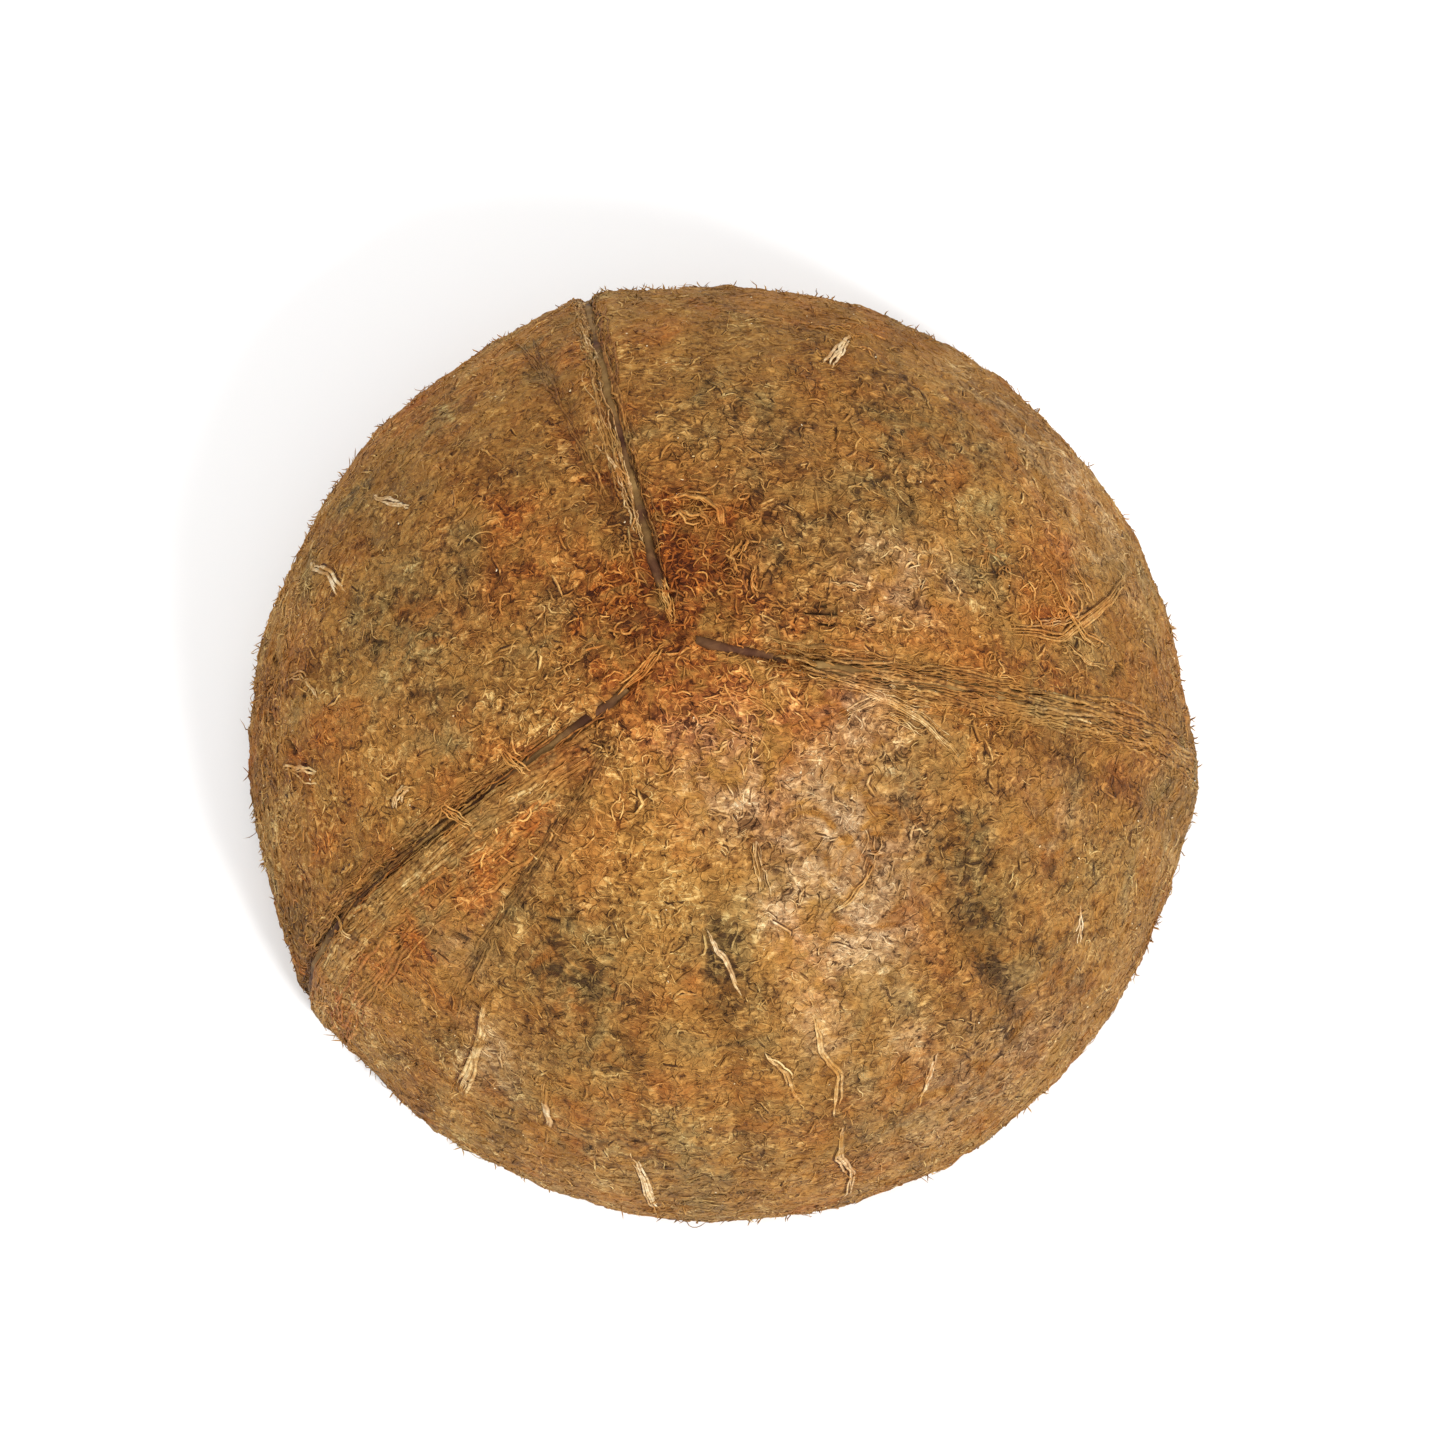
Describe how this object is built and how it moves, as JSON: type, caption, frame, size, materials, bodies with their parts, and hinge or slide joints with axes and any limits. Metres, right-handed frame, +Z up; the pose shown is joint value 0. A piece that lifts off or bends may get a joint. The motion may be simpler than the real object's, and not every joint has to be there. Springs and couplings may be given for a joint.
{
  "type": "half coconut shell",
  "caption": "Half of a hollow coconut shell in its fibre coat, sawn across, dome up on the cut rim, with seams that meet near the top.",
  "frame": {"origin": "on the ground under the middle of the outline, in the plane of the saw cut", "axes": "+Z up through the dome, away from the cut; +Y towards the top of the picture, +X towards its right"},
  "size_m": [0.1188, 0.117, 0.0628],
  "materials": {
    "husk_fibre": "dry matt coir over a hard dark shell"
  },
  "bodies": {
    "root": {"coconut_half_shell": "husk_fibre"}
  },
  "joints": []
}
